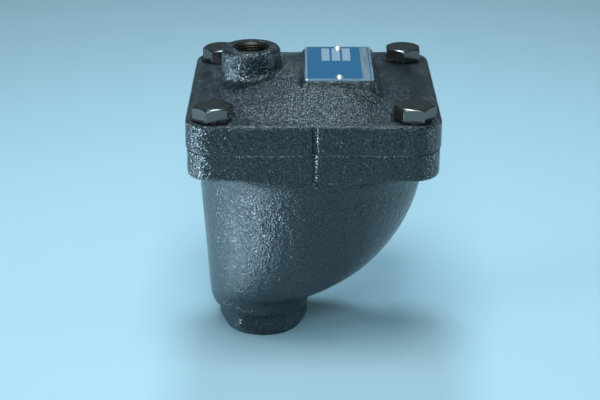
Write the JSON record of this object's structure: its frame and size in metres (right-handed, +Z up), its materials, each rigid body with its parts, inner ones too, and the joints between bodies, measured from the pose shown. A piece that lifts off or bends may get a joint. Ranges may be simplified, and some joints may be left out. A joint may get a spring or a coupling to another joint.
{
  "type": "air release valve",
  "caption": "Cast iron air release valve: a square bolted cover with a threaded outlet over a bowl whose ball float swings a lever that closes a disc on a seat.",
  "frame": {"origin": "centre of the inlet mouth at the bottom of the neck", "axes": "+Z up along the inlet axis, +X from the inlet axis towards the plate side of the cover, -Y the front in the picture"},
  "size_m": [0.127, 0.127, 0.1563],
  "materials": {
    "painted_iron": "black gloss enamel on rough sand casting",
    "black_steel": "blackened hexagon bolts",
    "stainless": "satin stainless steel",
    "brass": "turned brass",
    "rubber": "moulded black rubber",
    "gasket_sheet": "dark pressed fibre sheet",
    "plate": "blue lacquer on bare silver, no words"
  },
  "bodies": {
    "casing": {"body": "painted_iron", "cover": "painted_iron", "cover_gasket": "gasket_sheet", "cover_bolts": "black_steel", "nameplate": "plate", "nameplate_rivets": "stainless", "valve_seat": "brass", "seat_gasket": "brass", "lever_bracket": "stainless", "bracket_screws": "stainless", "bracket_washers": "stainless", "hinge_pin": "stainless", "hinge_clips": "stainless"},
    "lever": {"float_lever": "stainless", "float_upper": "stainless", "float_lower": "stainless", "float_stud": "stainless", "float_nut": "stainless", "float_washer": "stainless"},
    "valve": {"valve_stem": "stainless", "valve_disc": "rubber", "stem_pin": "stainless", "stem_clips": "stainless"}
  },
  "joints": [
    {"name": "lever_swing", "type": "hinge", "parent": "casing", "child": "lever", "pos_m": [-0.0172, 0, 0.1011], "axis": [0, -1, 0], "range_deg": [0, 21]},
    {"name": "valve_lift", "type": "slide", "parent": "casing", "child": "valve", "axis": [0, 0, 1], "range_m": [0, 0.0044]}
  ],
  "couplings": [
    {"joint": "valve_lift", "follows": "lever_swing", "m_per_rad": 0.012}
  ]
}
